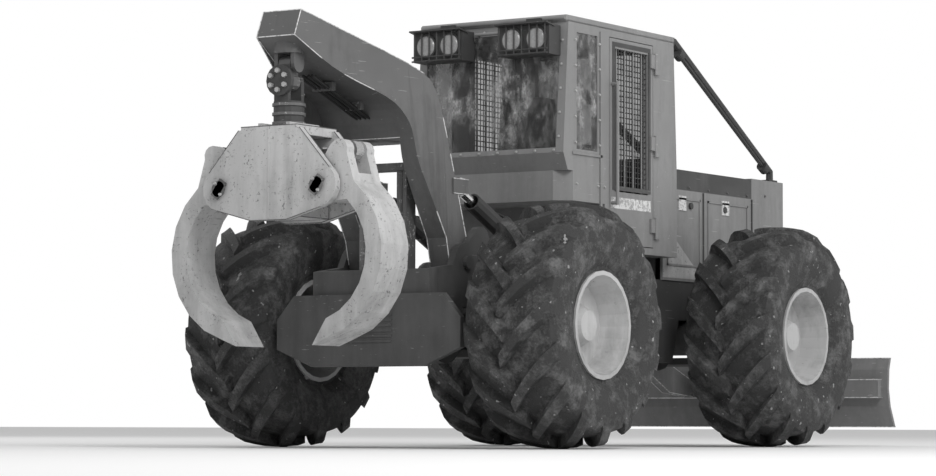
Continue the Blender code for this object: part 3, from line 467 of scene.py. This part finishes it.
shape = bmesh.new()
addBox(shape, (-0.585, -0.58, 2.030), (-0.572, 0.58, 2.046))
for _, side in sides:
    y0, y1 = sideRange(side, 0.617, 0.628)
    addBox(shape, (-0.50, y0, 2.045), (-0.10, y1, 2.062))
    addBox(shape, (-0.126, y0, 1.46), (-0.100, y1, 2.94))
piece("cab_seams", shape, "front_body", "body")


light = dict(top=2.94, low=2.735, tilt=10, visorY=(0.145, 0.575), bars=7, barY=0.165, barSpan=0.38,
             barOut=0.028, bar=0.0055, hoops=(2.735, 2.765), hoopY=(0.155, 0.565), hoop=0.0065,
             lampY=(0.26, 0.46), lampZ=2.84, bezel=0.088, lens=0.066, lensRim=0.076, round=28)


def workLight(sideName, side):
    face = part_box(f"work_light_{sideName}")[0].x
    frameShape, lensShape = bmesh.new(), bmesh.new()
    top, z = light["top"], light["lampZ"]
    visor = Matrix.Rotation(math.radians(light["tilt"]), 4, "Y")
    y0, y1 = sideRange(side, *light["visorY"])
    addBox(frameShape, (face - 0.055, y0, top - 0.006), (face + 0.06, y1, top + 0.004), visor)
    x = face - light["barOut"]
    for i in range(light["bars"]):
        y = side * (light["barY"] + light["barSpan"] * i / (light["bars"] - 1))
        addRod(frameShape, (x, y, light["low"]), (x, y, top), light["bar"], 8)
    near, far = (side * y for y in light["hoopY"])
    for height in light["hoops"]:
        addRod(frameShape, (x, near, height), (x, far, height), light["hoop"], 8)
    for y in (side * lamp for lamp in light["lampY"]):
        addRod(frameShape, (face - 0.012, y, z), (face + 0.01, y, z), light["bezel"], light["round"])
        addRod(lensShape, (face - 0.020, y, z), (face - 0.011, y, z), light["lens"], light["round"],
               light["lensRim"])
    piece(f"lamp_guard_{sideName}", frameShape, "front_body", "frame")
    piece(f"lamp_lenses_{sideName}", lensShape, "front_body", "lens")


for sideName, side in sides:
    workLight(sideName, side)


door = dict(x=(0.085, 0.565), z=(1.86, 2.86), screenY=0.600, layer=0.008, upright=12, across=26, wire=0.0042,
            edge=0.03, edgeY=(0.606, 0.622), barX=0.045, barY=0.665, barFoot=0.612, barZ=(1.72, 2.60),
            barFeet=(1.735, 2.585), bar=0.013, stripeX=(0.035, 0.60), stripeY=(0.6165, 0.6185),
            stripeZ=(1.70, 1.78))


def doorDetails(sideName, side):
    body = f"cab_door_{sideName}"
    (x0, x1), (z0, z1), edge = door["x"], door["z"], door["edge"]
    y = side * door["screenY"]
    inner = y - side * door["layer"]
    shape = bmesh.new()
    for i in range(door["upright"] + 1):
        x = x0 + (x1 - x0) * i / door["upright"]
        addRod(shape, (x, y, z0), (x, y, z1), door["wire"], 6)
    for i in range(door["across"] + 1):
        z = z0 + (z1 - z0) * i / door["across"]
        addRod(shape, (x0, inner, z), (x1, inner, z), door["wire"], 6)
    piece(f"door_screen_{sideName}", shape, body, "frame")
    shape = bmesh.new()
    a, b = sideRange(side, *door["edgeY"])
    for low, high in (((x0 - edge, z0 - edge), (x1 + edge, z0)), ((x0 - edge, z1), (x1 + edge, z1 + edge)),
                      ((x0 - edge, z0), (x0, z1)), ((x1, z0), (x1 + edge, z1))):
        addBox(shape, (low[0], a, low[1]), (high[0], b, high[1]))
    piece(f"door_screen_frame_{sideName}", shape, body, "hood")
    shape = bmesh.new()
    x, bar = door["barX"], side * door["barY"]
    addRod(shape, (x, bar, door["barZ"][0]), (x, bar, door["barZ"][1]), door["bar"])
    for z in door["barFeet"]:
        addRod(shape, (x, bar, z), (x, side * door["barFoot"], z), door["bar"])
    piece(f"grab_bar_{sideName}", shape, body, "body")
    shape = bmesh.new()
    a, b = sideRange(side, *door["stripeY"])
    (x0, x1), (z0, z1) = door["stripeX"], door["stripeZ"]
    addBox(shape, (x0, a, z0), (x1, b, z1))
    piece(f"door_stripe_{sideName}", shape, body, "stripe")


for sideName, side in sides:
    doorDetails(sideName, side)

# operator's seat
seat = dict(cuts=9, pinch=0.42, pull=0.05, corner=0.05, channel=0.010, channels=(-0.36, 0.36),
            channelWidth=0.06, boot=5, bootLow=0.05, bootStep=0.045, bootFold=0.025)


def seatPad(name, centre, half, lean):
    # a crowned pad: thinner towards its edges, pulled in at its sides, with two sewn channels
    shape = bmesh.new()
    made = bmesh.ops.create_cube(shape, size=2)
    edges = list({edge for vert in made["verts"] for edge in vert.link_edges})
    bmesh.ops.subdivide_edges(shape, edges=edges, cuts=seat["cuts"], use_grid_fill=True)
    turn = Matrix.Rotation(lean, 3, "Y")
    for vert in shape.verts:
        u, v, w = vert.co
        edge = max(abs(u), abs(v)) ** 4
        groove = sum(math.exp(-((v - c) / seat["channelWidth"]) ** 2) for c in seat["channels"]) * (1 - edge)
        sewn = math.copysign(seat["channel"] * groove, w) if abs(w) > 0.9 else 0
        thick = w * (1 - seat["pinch"] * edge) * half[2] - sewn
        side = 1 - seat["pull"] * (1 - w * w) - seat["corner"] * (u * v) ** 2
        vert.co = Vector(centre) + turn @ Vector((u * half[0] * side, v * half[1] * side, thick))
    made = piece(name, shape, "front_body", "seat")
    step = made.modifiers.new("smooth", "SUBSURF")
    step.levels = step.render_levels = 1
    return made


cushion = seatPad("seat_cushion", (0.13, 0, 1.875), (0.225, 0.245, 0.062), 0)
seatPad("seat_back", (-0.105, 0, 2.21), (0.30, 0.225, 0.058), math.radians(93.5))
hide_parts("operator_seat")
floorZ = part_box("operator_seat")[0].z
shape = bmesh.new()
addBox(shape, (0.05, -0.14, floorZ), (0.29, 0.14, floorZ + 0.04))
for i in range(seat["boot"]):
    z = floorZ + seat["bootLow"] + seat["bootStep"] * i
    addBox(shape, (0.06, -0.13, z), (0.28, 0.13, z + seat["bootFold"]))
addBox(shape, (0.09, -0.09, floorZ + 0.02), (0.25, 0.09, 1.80))
addBox(shape, (-0.08, -0.22, 1.79), (0.34, 0.22, 1.812))
piece("seat_suspension", shape, "front_body", "frame")
print("cab made")

# hood
hood = dict(halfWidth=0.49, proud=0.008, rear=1.00, seam=1.62, front=2.40, low=1.34, high=1.855, rib=0.015,
            bottom=1.24, top=1.91, padSpan=0.11, padZ=(1.76, 1.87), latchZ=1.80, latch=0.025,
            patch=((1.00, 1.60), (1.10, 1.60), (1.62, 1.25), (1.00, 1.25)))


def hoodSide(sideName, side):
    shape, patch, pads = bmesh.new(), bmesh.new(), bmesh.new()
    a, b = sideRange(side, hood["halfWidth"], hood["halfWidth"] + hood["proud"])
    low, high, rib = hood["low"], hood["high"], hood["rib"]
    for x0, x1 in ((hood["rear"] + 0.06, hood["seam"] - 0.05), (hood["seam"] + 0.07, hood["front"] - 0.07)):
        for start, stop in (((x0, low), (x1, low + rib)), ((x0, high - rib), (x1, high)),
                            ((x0, low), (x0 + rib, high)), ((x1 - rib, low), (x1, high))):
            addBox(shape, (start[0], a, start[1]), (stop[0], b, stop[1]))
        middle = x0 + (x1 - x0) * 0.35
        addBox(pads, (middle, a, hood["padZ"][0]), (middle + hood["padSpan"], b, hood["padZ"][1]))
    piece(f"shield_ribs_{sideName}", shape, "front_body", "body")
    piece(f"latch_pads_{sideName}", pads, "front_body", "stripe")
    y = side * (hood["halfWidth"] + 0.001)
    near = [patch.verts.new((x, y, z)) for x, z in hood["patch"]]
    far = [patch.verts.new((x, y + side * 0.0015, z)) for x, z in hood["patch"]]
    patch.faces.new(near)
    patch.faces.new(far)
    for i in range(4):
        j = (i + 1) % 4
        patch.faces.new((near[i], near[j], far[j], far[i]))
    piece(f"light_patch_{sideName}", patch, "front_body", "grapple")
    shape = bmesh.new()
    b = min(b, 0.494)  # the left seam stands less proud
    for x in (hood["seam"], hood["front"]):
        addBox(shape, (x - 0.006, a, hood["bottom"]), (x + 0.006, b, hood["top"]))
    for x in (hood["seam"] - 0.20, hood["front"] - 0.45):
        addRod(shape, (x, side * 0.49, hood["latchZ"]), (x, side * 0.506, hood["latchZ"]), hood["latch"], 16)
    piece(f"shield_seams_{sideName}", shape, "front_body", "frame")


for sideName, side in sides:
    hoodSide(sideName, side)

# brackets and stiffeners of the limb risers
for sideName, side in sides:
    shape = bmesh.new()
    addBox(shape, (0.955, side * 0.56 - 0.05, 2.955), (0.968, side * 0.56 + 0.05, 3.015))
    a, b = sideRange(side, 0.415, 0.488)
    addBox(shape, (2.70, a, 2.075), (2.84, b, 2.087))
    start, end = Vector((1.10, side * 0.556, 2.925)), Vector((2.70, side * 0.459, 2.155))
    addRod(shape, start, end, 0.016, 6)
    for share in (0.02, 0.97):
        spot = start.lerp(end, share)
        addRod(shape, spot - Vector((0.03, 0, -0.015)), spot + Vector((0.03, 0, -0.015)), 0.042, 14)
    piece(f"riser_brackets_{sideName}", shape, "front_body", "frame")
bolts("hood_bolts", "front_body",
      [((x, side * 0.4915, 1.935), (0, side, 0)) for _, side in sides for x in (1.08, 1.4, 1.7, 2.0, 2.32)]
      + [((2.62, side * 0.4915, z), (0, side, 0)) for _, side in sides for z in (1.35, 1.65, 1.95)], "steel")
print("hood made")

# grapple
head = dict(x=-2.98, halfX=0.215, pinY=0.385, pinZ=1.66, washer=0.052, ribX=0.16, ribY=(0.095, 0.125),
            ribZ=(2.045, 2.075), seamX=0.216, seamLow=1.46)


def keeper(shape, x, y, z, tilt):
    turn = Matrix.Rotation(tilt, 4, "X")
    addBox(shape, (x - 0.012, y - 0.030, z - 0.062), (x + 0.004, y + 0.030, z + 0.062), turn)


shape = bmesh.new()
z, spots = head["pinZ"], []
for end in (-1, 1):
    x = head["x"] + end * (head["halfX"] + 0.010)
    boltX = head["x"] + end * (head["halfX"] + 0.024)
    for _, side in sides:
        y = side * head["pinY"]
        keeper(shape, x, y, z, math.radians(35))
        addRod(shape, (x - 0.006, y, z), (x + 0.012 * end, y, z), head["washer"], 20)
        spots += [((boltX, y + off * 0.02, z + off * 0.035), (end, 0, 0)) for off in (-1, 1)]
piece("tong_pin_keepers", shape, "grapple_head", "steel")
bolts("keeper_bolts", "grapple_head", spots, "bolt", 0.012, 0.014)

shape = bmesh.new()
for _, side in sides:
    a, b = sideRange(side, *head["ribY"])
    addBox(shape, (head["x"] - head["ribX"], a, head["ribZ"][0]),
           (head["x"] + head["ribX"], b, head["ribZ"][1]))
for end in (-1, 1):
    x = head["x"] + end * head["seamX"]
    addBox(shape, (x - 0.003, -0.006, head["seamLow"]), (x + 0.003, 0.006, head["ribZ"][0]))
piece("head_ribs", shape, "grapple_head", "grapple")

rotator = dict(discZ=2.35, circle=0.062, bolts=6, bolt=0.017, stands=0.022, bands=(2.07, 2.13, 2.19),
               bandHeight=0.018, bandRadius=0.108)
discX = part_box("rotator")[0].x - 0.003
shape = bmesh.new()
for i in range(rotator["bolts"]):
    a = math.tau * i / rotator["bolts"]
    across, up = rotator["circle"] * math.sin(a), rotator["circle"] * math.cos(a)
    spot = Vector((discX, across, rotator["discZ"] + up))
    addRod(shape, spot, spot + Vector((-rotator["stands"], 0, 0)), rotator["bolt"], 6)
piece("brake_disc_bolts", shape, "rotator", "bolt")
shape = bmesh.new()
for z in rotator["bands"]:
    addRod(shape, (head["x"], 0, z), (head["x"], 0, z + rotator["bandHeight"]), rotator["bandRadius"], 32)
piece("rotator_bands", shape, "rotator", "steel")
print("grapple made")


def tube(name, points, radius, body, look="hose"):
    curve = bpy.data.curves.new(name, "CURVE")
    curve.dimensions = "3D"
    curve.bevel_depth = radius
    curve.bevel_resolution = 2
    curve.resolution_u = 10
    curve.use_fill_caps = True
    line = curve.splines.new("NURBS")
    line.points.add(len(points) - 1)
    for spot, place in zip(line.points, points):
        spot.co = (*place, 1)
    line.use_endpoint_u = True
    line.order_u = 4
    made = bpy.data.objects.new(name, curve)
    bpy.context.scene.collection.objects.link(made)
    curve.materials.append(finish[look])
    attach(made, body)
    return made


# boom
boomHose = dict(radius=0.011, across=(-0.05, -0.02, 0.02, 0.05), clamps=((-2.28, 2.245), (-2.6, 2.345)),
                line=((-2.13, 2.18), (-2.2, 2.19), (-2.35, 2.255), (-2.6, 2.335), (-2.80, 2.405)))
for index, y in enumerate(boomHose["across"]):
    tube(f"boom_hose_{index}", [(x, y, z) for x, z in boomHose["line"]], boomHose["radius"], "boom")
shape = bmesh.new()
for x, z in boomHose["clamps"]:
    addBox(shape, (x - 0.02, -0.08, z - 0.02), (x + 0.02, 0.08, z + 0.035))
piece("hose_clamps", shape, "boom", "steel")
# the pale boom and blade edge lines are painted highlight; the dark grapple head edge lines are worn paint
edgeLinesHighlitAndWorn("boom", "boom", "stripe", 0.12, 0.0035)
edgeLinesHighlitAndWorn("dozer_blade", "blade", "stripe", 0.20, 0.004)
edgeLinesHighlitAndWorn("grapple_head", "grapple_head", "steel", 0.12, 0.003)
print("boom made")

# winch
winch = dict(x=-1.06, z=1.12, turns=14, half=0.18, radius=0.118, cable=0.020)
shape = bmesh.new()
around = Matrix.Rotation(math.pi / 2, 4, "X")
for i in range(winch["turns"]):
    y = -winch["half"] + 2 * winch["half"] * i / (winch["turns"] - 1)
    turn = Matrix.Translation((winch["x"], y, winch["z"])) @ around
    bmesh.ops.create_cone(shape, cap_ends=True, segments=40, radius1=winch["radius"],
                          radius2=winch["radius"], depth=winch["cable"], matrix=turn)
piece("winch_cable_turns", shape, "winch", "steel")

# rear plate
rearPlate = dict(slats=6, low=0.70, step=0.035, slat=0.014, x=(-2.106, -2.100), half=0.20,
                 bolts=((-1.98, 0.8), (-1.98, 1.05), (-0.9, 0.75), (-0.9, 1.05)), boltY=0.4415)
shape = bmesh.new()
for i in range(rearPlate["slats"]):
    z = rearPlate["low"] + rearPlate["step"] * i
    addBox(shape, (rearPlate["x"][0], -rearPlate["half"], z),
           (rearPlate["x"][1], rearPlate["half"], z + rearPlate["slat"]))
piece("butt_plate_louvres", shape, "rear_body", "frame")
bolts("frame_bolts", "rear_body",
      [((x, side * rearPlate["boltY"], z), (0, side, 0)) for _, side in sides for x, z in rearPlate["bolts"]],
      "steel", 0.016, 0.016)
print("rear made")

# hoses and bands on the boom cylinders
cylinder = dict(y=0.33, hose=0.010, pair=(-0.022, 0.022), along=(-0.9108, 0, 0.4128), band=0.068,
                bandHalf=0.012, bands=(0.30, 0.70), base=(-0.62, 1.35), run=(-0.5, 0.225),
                line=((-0.62, 1.405), (-0.66, 1.455), (-0.80, 1.515), (-1.00, 1.60), (-1.08, 1.61),
                      (-1.10, 1.585)))
for sideName, side in sides:
    body, y = f"boom_barrel_{sideName}", side * cylinder["y"]
    for index, shift in enumerate(cylinder["pair"]):
        tube(f"cylinder_hose_{sideName}_{index}", [(x, y + shift, z) for x, z in cylinder["line"]],
             cylinder["hose"], body)
    shape = bmesh.new()
    (baseX, baseZ), (runX, runZ) = cylinder["base"], cylinder["run"]
    half = Vector(cylinder["along"]) * cylinder["bandHalf"]
    for share in cylinder["bands"]:
        spot = Vector((baseX + runX * share, y, baseZ + runZ * share))
        addRod(shape, spot - half, spot + half, cylinder["band"], 24)
    piece(f"cylinder_bands_{sideName}", shape, body, "steel")
print("cylinder hoses made")

# camera, floor and light
look = dict(place=(-18.836, -11.726, 0.159), ahead=(0.835781, 0.545735, 0.060361), lens=118.67,
            up=(-0.051925, -0.03088, 0.998173))
studio = dict(floorHalf=90, floorGrey=0.92, floorRough=0.9, skyStrength=0.55, aim=(0, 0, 1.2),
              lamps=(("key", (-9, -12, 11), 6, 1300), ("side", (6, -14, 7), 8, 350),
                     ("back", (4, 13, 9), 8, 300)))
camera = bpy.data.cameras.new("camera")
camera.lens = look["lens"]
camera.clip_end = 200
eye = bpy.data.objects.new("camera", camera)
bpy.context.scene.collection.objects.link(eye)
ahead, up = Vector(look["ahead"]), Vector(look["up"])
right = ahead.cross(up)
eye.matrix_world = Matrix.Translation(look["place"]) @ Matrix((right, up, -ahead)).transposed().to_4x4()
bpy.context.scene.camera = eye

shape = bmesh.new()
bmesh.ops.create_grid(shape, x_segments=1, y_segments=1, size=studio["floorHalf"])
mesh = bpy.data.meshes.new("floor")
shape.to_mesh(mesh)
shape.free()
floor = bpy.data.objects.new("floor", mesh)
bpy.context.scene.collection.objects.link(floor)
pale = Shader("paleFloor")
pale.set("Base Color", (*[studio["floorGrey"]] * 3, 1))
pale.set("Roughness", studio["floorRough"])
mesh.materials.append(pale.material)

world = bpy.data.worlds.new("studio")
world.use_nodes = True
bpy.context.scene.world = world
background = world.node_tree.nodes["Background"]
background.inputs["Color"].default_value = (1, 1, 1, 1)
seen = world.node_tree.nodes.new("ShaderNodeBackground")
path = world.node_tree.nodes.new("ShaderNodeLightPath")
choose = world.node_tree.nodes.new("ShaderNodeMixShader")
links = world.node_tree.links
seen.inputs["Color"].default_value = (1, 1, 1, 1)
links.new(path.outputs["Is Camera Ray"], choose.inputs[0])
links.new(background.outputs[0], choose.inputs[1])
links.new(seen.outputs[0], choose.inputs[2])
links.new(choose.outputs[0], world.node_tree.nodes["World Output"].inputs["Surface"])
background.inputs["Strength"].default_value = studio["skyStrength"]
for name, place, size, power in studio["lamps"]:
    lamp = bpy.data.lights.new(name, "AREA")
    lamp.size = size
    lamp.energy = power
    made = bpy.data.objects.new(name, lamp)
    bpy.context.scene.collection.objects.link(made)
    made.location = place
    made.rotation_euler = (Vector(studio["aim"]) - Vector(place)).to_track_quat("-Z", "Y").to_euler()
bpy.context.scene.view_settings.view_transform = "Standard"
print("camera and light set")
